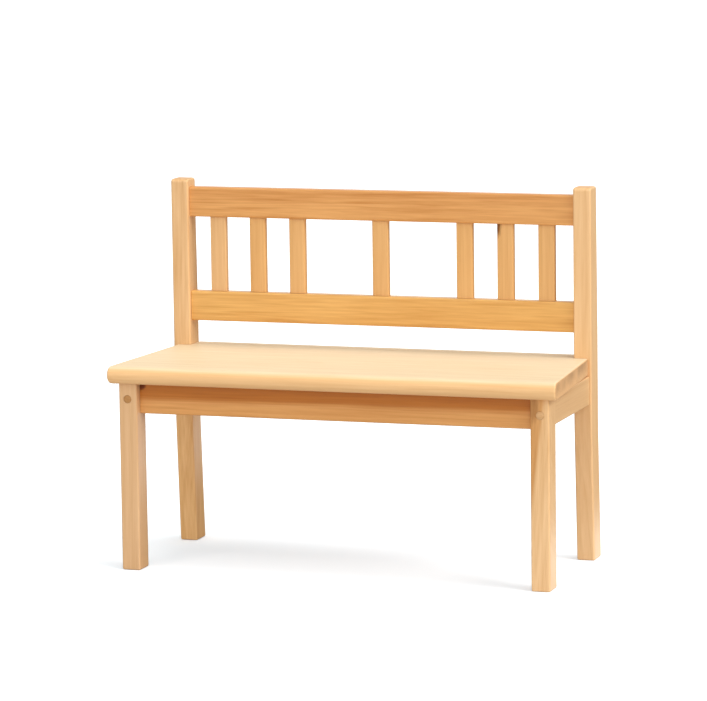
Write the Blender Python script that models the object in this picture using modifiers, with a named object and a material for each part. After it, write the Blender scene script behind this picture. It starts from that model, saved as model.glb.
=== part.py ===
"""A child's bench in solid pine: plank seat, four legs, aprons and a back with seven slats.

The rear posts are sawn to a swept side profile, swept back below the seat and
tapered above it. The two glued frames, front and rear, are tied together by the
side aprons, with a bolt and a barrel nut at each end and a block in each corner.
The slats stand in the back rails on stub tenons, and the seat is notched round
the posts.

Units are metres, Z is up, the sitter faces -Y and X runs along the seat. The
origin is on the floor, under the middle of the bench.
"""

import math

import bmesh
import bpy
from mathutils import Matrix, Vector

# Frame, measured over the outside faces of the legs
FRAME_WIDTH = 0.625
FRAME_DEPTH = 0.253
LEG_WIDTH = 0.027
LEG_DEPTH = 0.034

# Rear posts: section at the seat, sweep of the foot, taper of the back
POST_WIDTH = 0.026
POST_DEPTH = 0.036
POST_TOP_DEPTH = 0.0315
POST_HEIGHT = 0.530
POST_FOOT_SWEEP = 0.012
POST_SWEEP_DROP = 0.018
POST_BEND_RADIUS = 1.1
POST_TOP_ROUND = 0.005

# Seat plank
SEAT_HEIGHT = 0.290
SEAT_THICKNESS = 0.025
SEAT_FRONT_OVERHANG = 0.013
SEAT_REAR_OVERHANG = 0.0035
SEAT_END_OVERHANG = 0.013
SEAT_END_INSET = 0.005
SEAT_NOSE_FLAT = 0.001
SEAT_EDGE_ROUND = 0.003
SEAT_NOTCH_CLEARANCE = 0.0006

# Aprons
APRON_HEIGHT = 0.043
APRON_THICKNESS = 0.018
FRONT_APRON_SETBACK = 0.012
REAR_APRON_SETBACK = 0.009
SIDE_APRON_HEIGHT = 0.0405
SIDE_APRON_THICKNESS = 0.020
SIDE_APRON_SETBACK = 0.003

# Back rails and slats
RAIL_HEIGHT = 0.043
RAIL_THICKNESS = 0.0185
RAIL_SETBACK = 0.006
TOP_RAIL_DROP = 0.0115
LOWER_RAIL_RISE = 0.035
SLAT_WIDTH = 0.024
SLAT_THICKNESS = 0.010
SLAT_GAP = 0.036
SLAT_TO_POST_GAP = 0.0295
SLATS_IN_GROUP = 3
TENON_SHOULDER = 0.002
TENON_LENGTH = 0.010

# Eased edges
EDGE_ROUND = 0.0025
SLAT_ROUND = 0.002
BLOCK_ROUND = 0.001
ROUND_SEGMENTS = 3

# Dowels that join the aprons and rails to the legs and posts
DOWEL_RADIUS = 0.004
DOWEL_LEG_DEPTH = 0.014
DOWEL_RAIL_DEPTH = 0.022
DOWEL_SPREAD = 0.012
DOWEL_CHAMFER = 0.0008

# Bolts, barrel nuts and the wooden plugs over the bolt heads
BOLT_RADIUS = 0.003
BOLT_HEAD_RADIUS = 0.0055
BOLT_HEAD_HEIGHT = 0.0035
BOLT_TIP = 0.009
NUT_RADIUS = 0.005
NUT_LENGTH = 0.013
NUT_FROM_END = 0.052
PLUG_RADIUS = 0.0055
PLUG_LENGTH = 0.005
PLUG_CROWN = 0.0006

# Glued corner blocks, each with a screw up into the seat
BLOCK_HEIGHT = 0.024
BLOCK_LEG = 0.042
BLOCK_TIP = 0.008
BLOCK_RELIEF = 0.005
SCREW_RADIUS = 0.0018
SCREW_HEAD_RADIUS = 0.0038
SCREW_HEAD_HEIGHT = 0.0026
SCREW_RIM = 0.0005
SCREW_TIP = 0.005
SCREW_BITE = 0.014

# Gap left between pieces that touch
JOINT_GAP = 0.0003

# How finely round shapes are cut into flats, and how close two points merge
ROUND_SIDES = 16
ARC_SEGMENTS = 5
NOSE_SEGMENTS = 8
MERGE_DISTANCE = 0.00005

# Places worked out from the sizes above
TOTAL_DEPTH = SEAT_FRONT_OVERHANG + FRAME_DEPTH + POST_FOOT_SWEEP
SEAT_FRONT_Y = -TOTAL_DEPTH / 2
LEG_FRONT_Y = SEAT_FRONT_Y + SEAT_FRONT_OVERHANG
LEG_BACK_Y = LEG_FRONT_Y + LEG_DEPTH
POST_BACK_Y = LEG_FRONT_Y + FRAME_DEPTH
POST_FRONT_Y = POST_BACK_Y - POST_DEPTH
LEG_X = FRAME_WIDTH / 2 - LEG_WIDTH / 2
POST_X = FRAME_WIDTH / 2 - POST_WIDTH / 2
LEG_INNER_X = FRAME_WIDTH / 2 - LEG_WIDTH
POST_INNER_X = FRAME_WIDTH / 2 - POST_WIDTH

SEAT_UNDERSIDE_Z = SEAT_HEIGHT - SEAT_THICKNESS
SEAT_NOSE_ROUND = (SEAT_THICKNESS - SEAT_NOSE_FLAT) / 2
APRON_TOP_Z = SEAT_UNDERSIDE_Z - JOINT_GAP
APRON_Z = APRON_TOP_Z - APRON_HEIGHT / 2
POST_BEND_Z = APRON_TOP_Z - APRON_HEIGHT - POST_SWEEP_DROP

FRONT_APRON_Y = LEG_FRONT_Y + FRONT_APRON_SETBACK + APRON_THICKNESS / 2
REAR_APRON_Y = POST_BACK_Y - REAR_APRON_SETBACK - APRON_THICKNESS / 2
SIDE_APRON_X = FRAME_WIDTH / 2 - SIDE_APRON_SETBACK - SIDE_APRON_THICKNESS / 2
SIDE_APRON_INNER_X = SIDE_APRON_X - SIDE_APRON_THICKNESS / 2

RAIL_Y = POST_FRONT_Y + RAIL_SETBACK + RAIL_THICKNESS / 2
TOP_RAIL_Z = POST_HEIGHT - TOP_RAIL_DROP - RAIL_HEIGHT / 2
LOWER_RAIL_Z = SEAT_HEIGHT + LOWER_RAIL_RISE + RAIL_HEIGHT / 2
RAIL_LENGTH = 2 * (POST_INNER_X - JOINT_GAP)
SLAT_LENGTH = TOP_RAIL_Z - LOWER_RAIL_Z - RAIL_HEIGHT - 2 * JOINT_GAP

PLUG_SEAT = PLUG_LENGTH + JOINT_GAP
BOLT_HEAD_SEAT = PLUG_SEAT + BOLT_HEAD_HEIGHT + JOINT_GAP
SCREW_LENGTH = BLOCK_HEIGHT - SCREW_RIM + SCREW_BITE

X_AXIS = Vector((1, 0, 0))
Y_AXIS = Vector((0, 1, 0))
Z_AXIS = Vector((0, 0, 1))
SIDES = {"left": -1, "right": 1}


def clear_scene():
    """Start from an empty scene."""
    for item in list(bpy.data.objects):
        bpy.data.objects.remove(item, do_unlink=True)


def make_collection(name, parent=None):
    """A collection under the scene, or under another collection."""
    collection = bpy.data.collections.new(name)
    holder = parent or bpy.context.scene.collection
    holder.children.link(collection)
    return collection


def make_material(name, colour, roughness, metallic=0.0):
    """A plain Principled material."""
    material = bpy.data.materials.new(name)
    material.use_nodes = True
    shader = material.node_tree.nodes["Principled BSDF"]
    shader.inputs["Base Color"].default_value = (*colour, 1.0)
    shader.inputs["Roughness"].default_value = roughness
    shader.inputs["Metallic"].default_value = metallic
    return material


def add_piece(name, mesh, material, placement):
    """Put a finished mesh in the bench's collection as a named piece.

    placement is a matrix, or just the place of the mesh's own origin.
    """
    piece = bpy.data.objects.new(name, mesh)
    if not isinstance(placement, Matrix):
        placement = Matrix.Translation(placement)
    piece.matrix_world = placement
    if not mesh.materials:
        mesh.materials.append(material)
    BENCH.objects.link(piece)
    return piece


def mesh_from(bm, name):
    """Turn a bmesh into a mesh with its faces pointing out."""
    bmesh.ops.recalc_face_normals(bm, faces=bm.faces)
    mesh = bpy.data.meshes.new(name)
    bm.to_mesh(mesh)
    bm.free()
    return mesh


def round_edges(piece, radius, by_weight=True):
    """Ease the weighted edges, or every sharp one, to a radius."""
    bevel = piece.modifiers.new("eased edges", "BEVEL")
    bevel.width = radius
    bevel.segments = ROUND_SEGMENTS
    bevel.limit_method = "WEIGHT" if by_weight else "ANGLE"
    bevel.angle_limit = math.radians(40)


def cut_with(piece, cutters):
    """Cut the piece by every solid in its own collection of cutters."""
    holder = make_collection(piece.name + " cutters", CUTTERS)
    for cutter in cutters:
        holder.objects.link(cutter)
    cut = piece.modifiers.new("joinery", "BOOLEAN")
    cut.operation = "DIFFERENCE"
    cut.operand_type = "COLLECTION"
    cut.collection = holder
    cut.solver = "EXACT"


def add_cutter(name, mesh, placement):
    """A hidden solid that only cuts."""
    cutter = bpy.data.objects.new(name, mesh)
    cutter.matrix_world = placement
    cutter.hide_render = True
    cutter.display_type = "WIRE"
    CUTTERS.objects.link(cutter)
    return cutter


def planed_stick(name, size, centre, grain, radius, eased_ends=()):
    """A planed length of pine with its long edges rounded.

    grain is the index of the long axis, and eased_ends holds -1 or 1 for each
    end whose rim is rounded as well.
    """
    bm = bmesh.new()
    bmesh.ops.create_cube(bm, size=1.0)
    bmesh.ops.scale(bm, vec=size, verts=bm.verts)
    weight = bm.edges.layers.float.new("bevel_weight_edge")
    for edge in bm.edges:
        start, end = (math.copysign(1, vert.co[grain]) for vert in edge.verts)
        runs_along = start != end
        if runs_along or start in eased_ends:
            edge[weight] = 1.0
    piece = add_piece(name, mesh_from(bm, name), PINE, centre)
    round_edges(piece, radius)
    return piece


def box_mesh(name, size):
    """A plain box centred on its origin."""
    bm = bmesh.new()
    bmesh.ops.create_cube(bm, size=1.0)
    bmesh.ops.scale(bm, vec=size, verts=bm.verts)
    return mesh_from(bm, name)


def box_cutter(name, size, centre):
    """A cutter in the shape of a box."""
    return add_cutter(name, box_mesh(name, size), Matrix.Translation(centre))


def turned_mesh(name, profile):
    """Revolve (radius, height) points round Z; the first and last lie on the axis."""
    bm = bmesh.new()
    points = [bm.verts.new((radius, 0, height)) for radius, height in profile]
    edges = [bm.edges.new(pair) for pair in zip(points, points[1:])]
    bmesh.ops.spin(bm, geom=points + edges, cent=(0, 0, 0), axis=(0, 0, 1),
                   angle=math.tau, steps=ROUND_SIDES)
    bmesh.ops.remove_doubles(bm, verts=bm.verts, dist=MERGE_DISTANCE)
    mesh = mesh_from(bm, name)
    mesh.shade_smooth()
    mesh.set_sharp_from_angle(angle=math.radians(30))
    return mesh


def pin_profile(radius, start, end):
    """Profile of a plain cylinder from start to end along its axis."""
    return [(0, start), (radius, start), (radius, end), (0, end)]


def hole_radius(radius):
    """Radius of a faceted hole whose flats clear a round pin by the joint gap."""
    return (radius + JOINT_GAP) / math.cos(math.pi / ROUND_SIDES)


def aim(origin, direction):
    """Placement that carries a turned mesh's Z axis along a direction."""
    turn = Vector(direction).to_track_quat("Z", "Y").to_matrix().to_4x4()
    return Matrix.Translation(origin) @ turn


def rounded_outline(corners, segments=ARC_SEGMENTS):
    """Replace each (u, v, radius) corner of a closed outline with an arc."""
    outline = []
    for index, (u, v, radius) in enumerate(corners):
        corner = Vector((u, v))
        if radius == 0:
            outline.append(corner)
            continue
        before = (Vector(corners[index - 1][:2]) - corner).normalized()
        after = (Vector(corners[(index + 1) % len(corners)][:2]) - corner).normalized()
        half_angle = before.angle(after) / 2
        centre = corner + (before + after).normalized() * radius / math.sin(half_angle)
        start = corner + before * radius / math.tan(half_angle) - centre
        end = corner + after * radius / math.tan(half_angle) - centre
        sweep = start.angle_signed(end)
        for step in range(segments + 1):
            arm = start.copy()
            arm.rotate(Matrix.Rotation(-sweep * step / segments, 2))
            outline.append(centre + arm)
    return outline


def sawn_board(name, outline, thickness):
    """Mesh of a board sawn to a flat outline, centred on its thickness."""
    curve = bpy.data.curves.new(name, "CURVE")
    curve.dimensions = "2D"
    curve.fill_mode = "BOTH"
    curve.extrude = thickness / 2
    spline = curve.splines.new("POLY")
    spline.points.add(len(outline) - 1)
    for point, (u, v) in zip(spline.points, outline):
        point.co = (u, v, 0, 1)
    spline.use_cyclic_u = True
    holder = bpy.data.objects.new(name, curve)
    bpy.context.scene.collection.objects.link(holder)
    bpy.context.view_layer.update()
    depsgraph = bpy.context.evaluated_depsgraph_get()
    flat = bpy.data.meshes.new_from_object(holder.evaluated_get(depsgraph))
    bpy.data.objects.remove(holder, do_unlink=True)
    bpy.data.curves.remove(curve)
    bm = bmesh.new()
    bm.from_mesh(flat)
    bpy.data.meshes.remove(flat)
    bmesh.ops.remove_doubles(bm, verts=bm.verts, dist=MERGE_DISTANCE)
    bmesh.ops.dissolve_limit(bm, angle_limit=math.radians(0.5), verts=bm.verts, edges=bm.edges)
    return mesh_from(bm, name)


def make_dowels(joint, inner_x, y, z):
    """Two dowels at each end of an apron or a rail, through the joint at inner_x.

    Returns the hole cutters by side, each long enough for both pieces it joins.
    """
    start, end = -DOWEL_LEG_DEPTH, DOWEL_RAIL_DEPTH
    slim = DOWEL_RADIUS - DOWEL_CHAMFER
    dowel = turned_mesh("dowel", [
        (0, start), (slim, start), (DOWEL_RADIUS, start + DOWEL_CHAMFER),
        (DOWEL_RADIUS, end - DOWEL_CHAMFER), (slim, end), (0, end)])
    hole = turned_mesh("dowel hole", pin_profile(
        hole_radius(DOWEL_RADIUS), start - JOINT_GAP, end + JOINT_GAP))
    cutters = {}
    for side_name, side in SIDES.items():
        cutters[side_name] = []
        for level, lift in (("lower", -DOWEL_SPREAD), ("upper", DOWEL_SPREAD)):
            placement = aim((side * inner_x, y, z + lift), X_AXIS * -side)
            name = f"{joint}_dowel_{side_name}_{level}"
            add_piece(name, dowel, DOWEL_WOOD, placement)
            cutters[side_name].append(add_cutter(name + " hole", hole, placement))
    return cutters


def make_bolts():
    """Bolt, barrel nut and plug at each end of the side aprons.

    The bolts pass between the two dowels of the front and rear aprons, and the
    nuts lie clear of the corner blocks. Returns two cutters for each corner: the
    stepped bore, which the leg, the apron and the nut share, and the apron's
    cross bore for the nut.
    """
    nut = turned_mesh("barrel nut", pin_profile(NUT_RADIUS, -NUT_LENGTH / 2, NUT_LENGTH / 2))
    nut_bore = turned_mesh("nut bore", pin_profile(
        hole_radius(NUT_RADIUS), -NUT_LENGTH / 2 - JOINT_GAP, SIDE_APRON_THICKNESS))
    rows = {"front": (LEG_FRONT_Y, 1, LEG_DEPTH), "rear": (POST_BACK_Y, -1, POST_DEPTH)}
    cutters = {}
    for row, (face_y, inward, depth) in rows.items():
        nut_at = depth + NUT_FROM_END
        tip = nut_at + NUT_RADIUS + BOLT_TIP
        bolt, bore, plug = bolt_mesh(tip), bolt_bore(tip), plug_mesh()
        for side_name, side in SIDES.items():
            corner = f"{row}_{side_name}"
            into_leg = aim((side * SIDE_APRON_X, face_y, APRON_Z), Y_AXIS * inward)
            into_apron = aim((side * SIDE_APRON_X, face_y + inward * nut_at, APRON_Z), X_AXIS * -side)
            into_apron = into_apron @ Matrix.Rotation(math.pi / ROUND_SIDES, 4, "Z")
            bolt_cutter = add_cutter(f"bolt bore {corner}", bore, into_leg)
            nut_cutter = add_cutter(f"nut bore {corner}", nut_bore, into_apron)
            add_piece(f"frame_bolt_{corner}", bolt, STEEL, into_leg)
            add_piece(f"bolt_plug_{corner}", plug, PLUG_WOOD, into_leg)
            cut_with(add_piece(f"barrel_nut_{corner}", nut, STEEL, into_apron), [bolt_cutter])
            cutters[corner] = [bolt_cutter, nut_cutter]
    return cutters


def bolt_bore(tip):
    """Stepped bore: wide for the plug and the head, narrow for the shank."""
    wide = hole_radius(max(PLUG_RADIUS, BOLT_HEAD_RADIUS))
    narrow = hole_radius(BOLT_RADIUS)
    outside = -2 * EDGE_ROUND
    return turned_mesh("bolt bore", [
        (0, outside), (wide, outside), (wide, BOLT_HEAD_SEAT), (narrow, BOLT_HEAD_SEAT),
        (narrow, tip + JOINT_GAP), (0, tip + JOINT_GAP)])


def bolt_mesh(tip):
    """Bolt with a flat cylinder head and a chamfered tip."""
    under_head = BOLT_HEAD_SEAT - JOINT_GAP
    top = under_head - BOLT_HEAD_HEIGHT
    chamfer = BOLT_RADIUS / 4
    return turned_mesh("bolt", [
        (0, top), (BOLT_HEAD_RADIUS - chamfer, top), (BOLT_HEAD_RADIUS, top + chamfer),
        (BOLT_HEAD_RADIUS, under_head), (BOLT_RADIUS, under_head),
        (BOLT_RADIUS, tip - chamfer), (BOLT_RADIUS - chamfer, tip), (0, tip)])


def plug_mesh():
    """Wooden plug with a slight crown, which stands just proud of the leg."""
    angles = [step * math.pi / 6 for step in range(4)]
    crown = [(PLUG_RADIUS * math.sin(angle), -PLUG_CROWN * math.cos(angle)) for angle in angles]
    return turned_mesh("bolt plug", crown + [(PLUG_RADIUS, PLUG_LENGTH), (0, PLUG_LENGTH)])


def make_corner_blocks():
    """Blocks in the four corners under the seat, each with a screw up into it.

    Returns the screw bores, which reach the seat.
    """
    screw = turned_mesh("seat screw", [
        (0, 0), (SCREW_HEAD_RADIUS, 0), (SCREW_HEAD_RADIUS, SCREW_RIM),
        (SCREW_RADIUS, SCREW_HEAD_HEIGHT), (SCREW_RADIUS, SCREW_LENGTH - SCREW_TIP), (0, SCREW_LENGTH)])
    wide, narrow = hole_radius(SCREW_HEAD_RADIUS), hole_radius(SCREW_RADIUS)
    bore = turned_mesh("screw bore", [
        (0, -wide), (wide, -wide), (wide, SCREW_RIM), (narrow, SCREW_HEAD_HEIGHT + JOINT_GAP),
        (narrow, SCREW_LENGTH + JOINT_GAP), (0, SCREW_LENGTH + JOINT_GAP)])
    rows = {
        "front": (FRONT_APRON_Y + APRON_THICKNESS / 2, 1, LEG_BACK_Y, LEG_INNER_X),
        "rear": (REAR_APRON_Y - APRON_THICKNESS / 2, -1, POST_FRONT_Y, POST_INNER_X),
    }
    bores = []
    for row, (apron_face, inward, leg_face, leg_inner_x) in rows.items():
        relief = abs(leg_face - apron_face) + SIDE_APRON_INNER_X - leg_inner_x + BLOCK_RELIEF
        for side_name, side in SIDES.items():
            corner = Vector((side * (SIDE_APRON_INNER_X - JOINT_GAP), apron_face + inward * JOINT_GAP))
            along_x, along_y = Vector((-side, 0)), Vector((0, inward))
            outline = [corner + along_x * u + along_y * v for u, v in (
                (relief, 0), (BLOCK_LEG, 0), (BLOCK_LEG, BLOCK_TIP),
                (BLOCK_TIP, BLOCK_LEG), (0, BLOCK_LEG), (0, relief))]
            name = f"{row}_{side_name}"
            block = add_piece(f"corner_block_{name}", sawn_board("corner block", outline, BLOCK_HEIGHT),
                              PINE, (0, 0, APRON_TOP_Z - BLOCK_HEIGHT / 2))
            round_edges(block, BLOCK_ROUND, by_weight=False)
            middle = corner + (along_x + along_y) * (BLOCK_LEG + BLOCK_TIP + relief) / 4
            upwards = aim((*middle, APRON_TOP_Z - BLOCK_HEIGHT + SCREW_RIM), Z_AXIS)
            add_piece(f"seat_screw_{name}", screw, STEEL, upwards)
            bores.append(add_cutter(f"screw bore {name}", bore, upwards))
            cut_with(block, bores[-1:])
    return bores


def make_front_legs(holes, bolts):
    """Front legs with eased feet."""
    height = SEAT_UNDERSIDE_Z - JOINT_GAP
    for side_name, side in SIDES.items():
        leg = planed_stick(f"front_leg_{side_name}", (LEG_WIDTH, LEG_DEPTH, height),
                           (side * LEG_X, LEG_FRONT_Y + LEG_DEPTH / 2, height / 2),
                           2, EDGE_ROUND, eased_ends=(-1,))
        cut_with(leg, holes["front_apron"][side_name] + bolts[f"front_{side_name}"][:1])


def post_outline():
    """Side profile of a rear post in (y, z): swept foot, straight waist, tapered back."""
    top_back = POST_FRONT_Y + POST_TOP_DEPTH
    return rounded_outline([
        (POST_FRONT_Y + POST_FOOT_SWEEP, 0, 0),
        (POST_FRONT_Y, POST_BEND_Z, POST_BEND_RADIUS),
        (POST_FRONT_Y, POST_HEIGHT, POST_TOP_ROUND),
        (top_back, POST_HEIGHT, POST_TOP_ROUND),
        (POST_BACK_Y, SEAT_HEIGHT + LOWER_RAIL_RISE, POST_BEND_RADIUS),
        (POST_BACK_Y, POST_BEND_Z, POST_BEND_RADIUS),
        (POST_BACK_Y + POST_FOOT_SWEEP, 0, 0),
    ])


def make_rear_posts(holes, bolts):
    """Rear posts sawn to the swept profile, from the floor to the top of the back."""
    outline = post_outline()
    upright = Matrix(((0, 0, 1), (1, 0, 0), (0, 1, 0))).to_4x4()
    for side_name, side in SIDES.items():
        post = add_piece(f"rear_post_{side_name}", sawn_board("rear post", outline, POST_WIDTH),
                         PINE, Matrix.Translation((side * POST_X, 0, 0)) @ upright)
        round_edges(post, EDGE_ROUND, by_weight=False)
        joints = ("rear_apron", "top_back_rail", "lower_back_rail")
        dowel_holes = [hole for joint in joints for hole in holes[joint][side_name]]
        cut_with(post, dowel_holes + bolts[f"rear_{side_name}"][:1])


def make_aprons(holes, bolts):
    """Front and rear aprons between the legs, and side aprons between the frames."""
    for row, y, inner_x in (("front", FRONT_APRON_Y, LEG_INNER_X), ("rear", REAR_APRON_Y, POST_INNER_X)):
        name = f"{row}_apron"
        size = (2 * (inner_x - JOINT_GAP), APRON_THICKNESS, APRON_HEIGHT)
        apron = planed_stick(name, size, (0, y, APRON_Z), 0, EDGE_ROUND)
        cut_with(apron, holes[name]["left"] + holes[name]["right"])
    start, end = LEG_BACK_Y + JOINT_GAP, POST_FRONT_Y - JOINT_GAP
    for side_name, side in SIDES.items():
        size = (SIDE_APRON_THICKNESS, end - start, SIDE_APRON_HEIGHT)
        centre = (side * SIDE_APRON_X, (start + end) / 2, APRON_TOP_Z - SIDE_APRON_HEIGHT / 2)
        apron = planed_stick(f"side_apron_{side_name}", size, centre, 1, EDGE_ROUND)
        cut_with(apron, bolts[f"front_{side_name}"] + bolts[f"rear_{side_name}"])


def slat_places():
    """Slat centres along X: a group by each post and one slat in the middle."""
    outermost = POST_INNER_X - SLAT_TO_POST_GAP - SLAT_WIDTH / 2
    group = [outermost - index * (SLAT_WIDTH + SLAT_GAP) for index in range(SLATS_IN_GROUP)]
    return sorted([-x for x in group] + [0.0] + group)


def make_slats():
    """Slats with a stub tenon at each end; returns the cutters for their mortises."""
    tenon = Vector((SLAT_WIDTH - 2 * TENON_SHOULDER, SLAT_THICKNESS - 2 * TENON_SHOULDER,
                    SLAT_LENGTH + 2 * TENON_LENGTH))
    mortise = tenon + Vector((2, 2, 2)) * JOINT_GAP
    middle_z = (TOP_RAIL_Z + LOWER_RAIL_Z) / 2
    mortises = []
    for index, x in enumerate(slat_places(), 1):
        centre = (x, RAIL_Y, middle_z)
        slat = planed_stick(f"back_slat_{index}", (SLAT_WIDTH, SLAT_THICKNESS, SLAT_LENGTH),
                            centre, 2, SLAT_ROUND)
        core = box_cutter(f"tenons {index}", tenon, centre)
        join = slat.modifiers.new("tenons", "BOOLEAN")
        join.operation = "UNION"
        join.object = core
        join.solver = "EXACT"
        mortises.append(box_cutter(f"mortises {index}", mortise, centre))
    return mortises


def make_rails(holes, mortises):
    """Top and lower back rails, mortised for the slats."""
    for name, z in (("top_back_rail", TOP_RAIL_Z), ("lower_back_rail", LOWER_RAIL_Z)):
        rail = planed_stick(name, (RAIL_LENGTH, RAIL_THICKNESS, RAIL_HEIGHT), (0, RAIL_Y, z), 0, EDGE_ROUND)
        cut_with(rail, holes[name]["left"] + holes[name]["right"] + mortises)


def seat_profile():
    """Side profile of the seat, from front to back: a full round nose and a square back."""
    back_y = POST_BACK_Y + SEAT_REAR_OVERHANG
    half = SEAT_THICKNESS / 2
    return rounded_outline([
        (SEAT_FRONT_Y, -half, SEAT_NOSE_ROUND),
        (back_y, -half, 0),
        (back_y, half, 0),
        (SEAT_FRONT_Y, half, SEAT_NOSE_ROUND),
    ], NOSE_SEGMENTS)


def make_seat(screw_bores):
    """Seat plank with a round nose and its ends drawn in towards the posts, which it is notched round.

    The profile runs the length of the seat; the ends and the back are only eased.
    """
    front_x = FRAME_WIDTH / 2 + SEAT_END_OVERHANG
    waist_x = FRAME_WIDTH / 2 - SEAT_END_INSET
    draw_in = (front_x - waist_x) / (POST_FRONT_Y - SEAT_FRONT_Y)
    mesh = sawn_board("seat_board", seat_profile(), 2 * front_x)
    for vert in mesh.vertices:
        y, z, end = vert.co
        vert.co = (math.copysign(front_x - draw_in * (y - SEAT_FRONT_Y), end), y, z)
    seat = add_piece("seat_board", mesh, PINE, (0, 0, SEAT_HEIGHT - SEAT_THICKNESS / 2))
    round_edges(seat, SEAT_EDGE_ROUND, by_weight=False)
    notch_start = POST_FRONT_Y - SEAT_NOTCH_CLEARANCE
    notch_end = POST_BACK_Y + 2 * SEAT_REAR_OVERHANG + POST_DEPTH
    inner_x = POST_INNER_X - SEAT_NOTCH_CLEARANCE
    outer_x = FRAME_WIDTH / 2 + POST_WIDTH
    notches = [box_cutter(f"seat notch {side_name}",
                          (outer_x - inner_x, notch_end - notch_start, 2 * SEAT_THICKNESS),
                          (side * (outer_x + inner_x) / 2, (notch_start + notch_end) / 2,
                           SEAT_HEIGHT - SEAT_THICKNESS / 2))
               for side_name, side in SIDES.items()]
    cut_with(seat, notches + screw_bores)


def make_bench():
    """Build the bench: joinery first, then the pieces that it cuts."""
    joints = {
        "front_apron": (LEG_INNER_X, FRONT_APRON_Y, APRON_Z),
        "rear_apron": (POST_INNER_X, REAR_APRON_Y, APRON_Z),
        "top_back_rail": (POST_INNER_X, RAIL_Y, TOP_RAIL_Z),
        "lower_back_rail": (POST_INNER_X, RAIL_Y, LOWER_RAIL_Z),
    }
    holes = {joint: make_dowels(joint, *place) for joint, place in joints.items()}
    bolts = make_bolts()
    make_front_legs(holes, bolts)
    make_rear_posts(holes, bolts)
    make_aprons(holes, bolts)
    make_rails(holes, make_slats())
    make_seat(make_corner_blocks())


clear_scene()
BENCH = make_collection("bench")
CUTTERS = make_collection("cutters")
PINE = make_material("lacquered pine", (0.76, 0.52, 0.28), 0.38)
PLUG_WOOD = make_material("end grain plug", (0.60, 0.37, 0.17), 0.45)
DOWEL_WOOD = make_material("beech dowel", (0.66, 0.45, 0.27), 0.60)
STEEL = make_material("zinc plated steel", (0.62, 0.62, 0.60), 0.35, 1.0)
make_bench()
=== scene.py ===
# %% [markdown]
# A small pine bench arrives from its construction file as a fixed frame: every rail, dowel and
# bolt is already in its real place, in metres, with Z up. The frame is never moved here. What
# this lesson adds is the look: wood that has rings running through it, lacquer, plugs and steel.

# %% Load the frame
import math

import bmesh
import bpy
from mathutils import Matrix, Vector


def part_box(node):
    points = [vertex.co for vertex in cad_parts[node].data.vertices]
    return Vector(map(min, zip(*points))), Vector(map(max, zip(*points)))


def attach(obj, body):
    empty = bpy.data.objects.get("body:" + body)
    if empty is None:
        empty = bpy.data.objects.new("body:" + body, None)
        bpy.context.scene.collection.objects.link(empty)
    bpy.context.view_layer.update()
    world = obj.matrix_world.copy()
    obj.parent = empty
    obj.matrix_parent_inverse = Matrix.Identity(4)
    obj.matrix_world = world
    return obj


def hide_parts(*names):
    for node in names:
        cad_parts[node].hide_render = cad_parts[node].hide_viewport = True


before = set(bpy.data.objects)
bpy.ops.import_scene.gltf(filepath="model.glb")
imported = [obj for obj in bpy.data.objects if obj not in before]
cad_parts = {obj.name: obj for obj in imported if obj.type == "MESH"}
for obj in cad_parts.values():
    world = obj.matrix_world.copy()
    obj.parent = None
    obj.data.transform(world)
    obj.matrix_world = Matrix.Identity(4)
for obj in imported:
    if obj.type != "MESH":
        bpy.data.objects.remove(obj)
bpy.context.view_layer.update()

MM = 0.001
BODY = "root"

# %% [markdown]
# The photograph was taken from a little to the right of the middle and a little above the seat,
# with a long lens: the bench's parallel lines hardly meet. A camera is set by where it looks,
# from which side and how far, and its focal length follows from the picture's size in pixels.
# Building its matrix from three axes keeps the slight roll exact.

# %% Camera
PICTURE_WIDTH_PX = 707
FOCAL_LENGTH_PX = 4143.2
SENSOR_WIDTH_MM = 36.0
CAMERA_AZIMUTH = math.radians(18.67)
CAMERA_ELEVATION = math.radians(8.300)
CAMERA_ROLL = math.radians(-0.770)
CAMERA_DISTANCE = 5.812
CAMERA_TARGET = Vector((-0.0093, 0.005, 0.3032))


def linked(name, data):
    """A new object in the scene."""
    made = bpy.data.objects.new(name, data)
    bpy.context.scene.collection.objects.link(made)
    return made


def add_camera():
    """A camera whose X, Y and Z axes are worked out from azimuth, elevation and roll."""
    flat = math.cos(CAMERA_ELEVATION)
    back = Vector((math.sin(CAMERA_AZIMUTH) * flat, -math.cos(CAMERA_AZIMUTH) * flat,
                   math.sin(CAMERA_ELEVATION)))
    level = Vector((math.cos(CAMERA_AZIMUTH), math.sin(CAMERA_AZIMUTH), 0))
    upright = back.cross(level)
    right = level * math.cos(CAMERA_ROLL) + upright * math.sin(CAMERA_ROLL)
    up = upright * math.cos(CAMERA_ROLL) - level * math.sin(CAMERA_ROLL)
    data = bpy.data.cameras.new("camera")
    data.sensor_width = SENSOR_WIDTH_MM
    data.lens = FOCAL_LENGTH_PX / PICTURE_WIDTH_PX * SENSOR_WIDTH_MM
    camera = linked("camera", data)
    turn = Matrix((right, up, back)).transposed().to_4x4()
    camera.matrix_world = Matrix.Translation(CAMERA_TARGET + back * CAMERA_DISTANCE) @ turn
    bpy.context.scene.camera = camera
    return camera


print("lens:", round(add_camera().data.lens, 1), "mm")

# %% [markdown]
# Node trees are easier to read when each node is one short call. The helpers below add a node,
# set its options, and fill each input with either a value or a link from another node. The same
# trees could be wired by hand in the editor, but a script reads from top to bottom.

# %% Helpers for node trees
def node(tree, kind, inputs=None, **options):
    """Add a node; inputs maps a socket's name or index to a value, a link or a list of links."""
    made = tree.nodes.new(kind)
    for option, value in options.items():
        setattr(made, option, value)
    for key, value in (inputs or {}).items():
        links = value if isinstance(value, list) else [value]
        if isinstance(links[0], bpy.types.NodeSocket):
            for link in links:
                tree.links.new(link, made.inputs[key])
        else:
            made.inputs[key].default_value = value
    return made


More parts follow.
